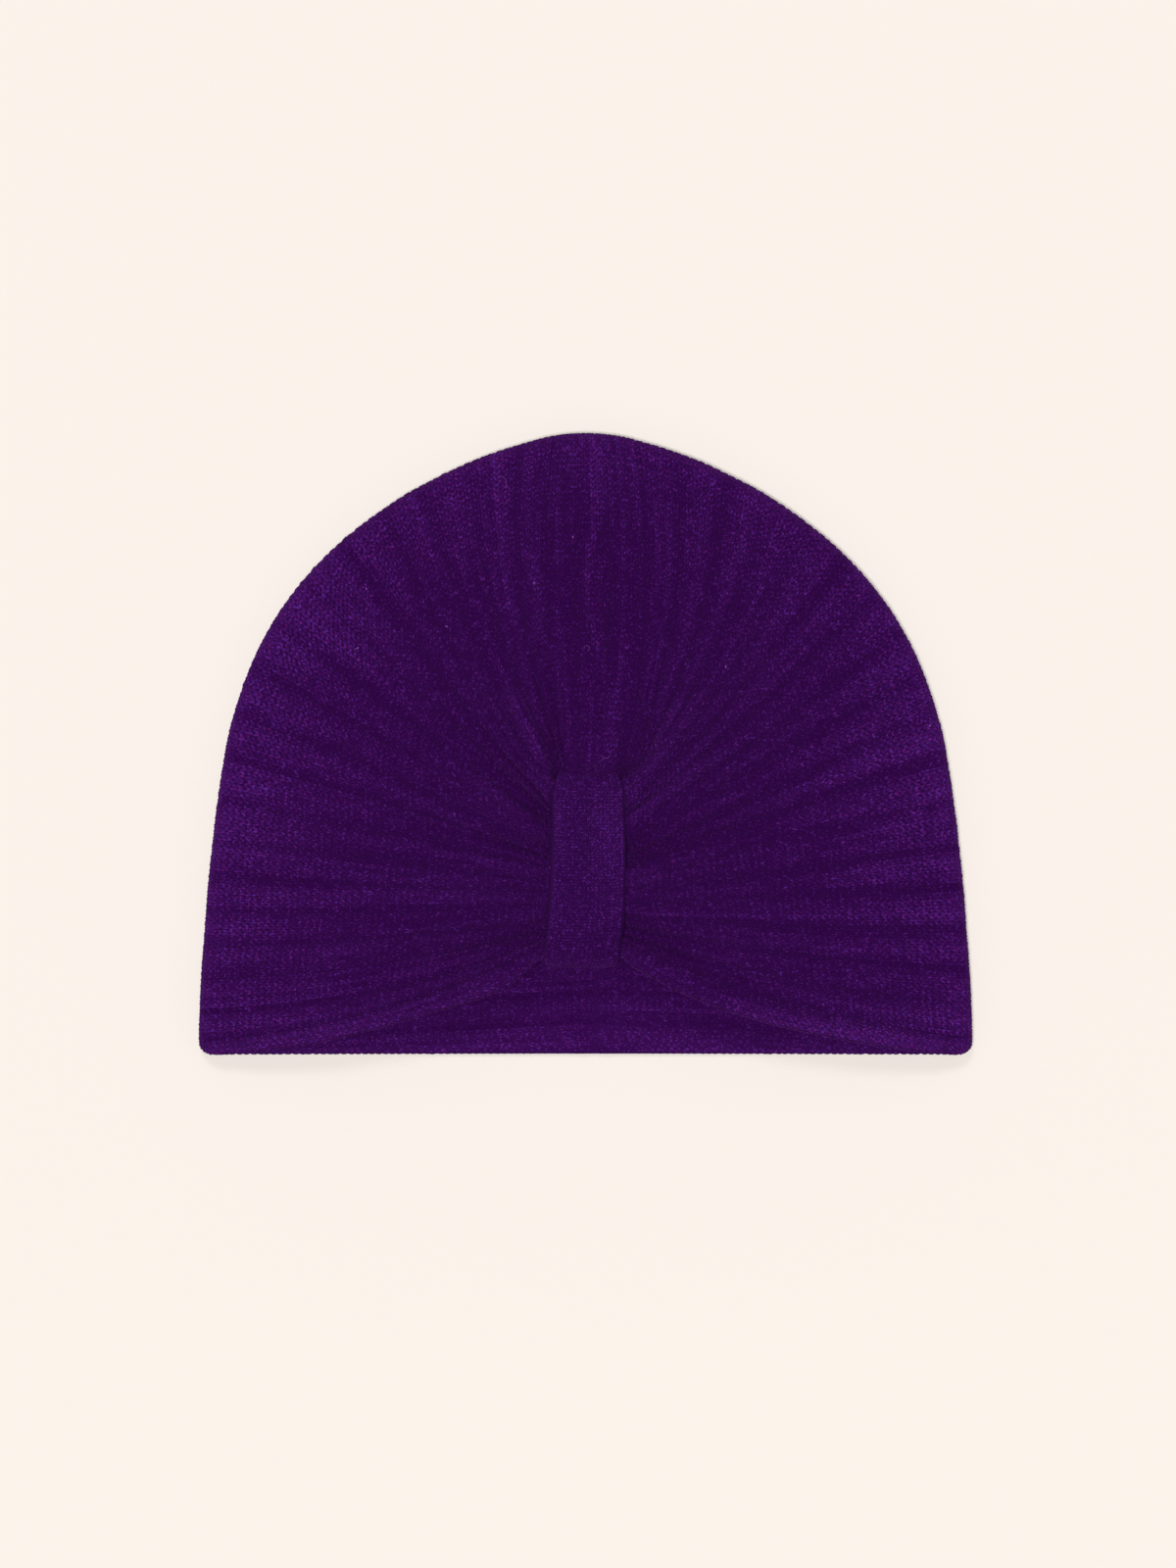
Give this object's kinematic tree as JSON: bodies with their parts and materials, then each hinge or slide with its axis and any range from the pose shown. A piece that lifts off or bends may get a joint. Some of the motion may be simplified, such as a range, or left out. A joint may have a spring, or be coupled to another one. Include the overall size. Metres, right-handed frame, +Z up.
{
  "type": "turban beanie",
  "caption": "Rib-knit turban beanie lying flat on its back, its ribs gathered at the front in a narrow jersey band above an arched hem; open mouth, hollow inside.",
  "frame": {"origin": "centre of the bottom of the bounding box, on the surface the hat lies on", "axes": "+X across the hat, to the right as seen from above; +Y from the mouth towards the crown; +Z up, out of the gathered front"},
  "size_m": [0.2492, 0.2006, 0.03],
  "materials": {
    "rib_knit": "matt mid-gauge rib knit, dark purple",
    "jersey": "matt fine jersey, dark purple"
  },
  "bodies": {
    "root": {"ribbed_crown": "rib_knit", "front_strap": "jersey"}
  },
  "joints": []
}
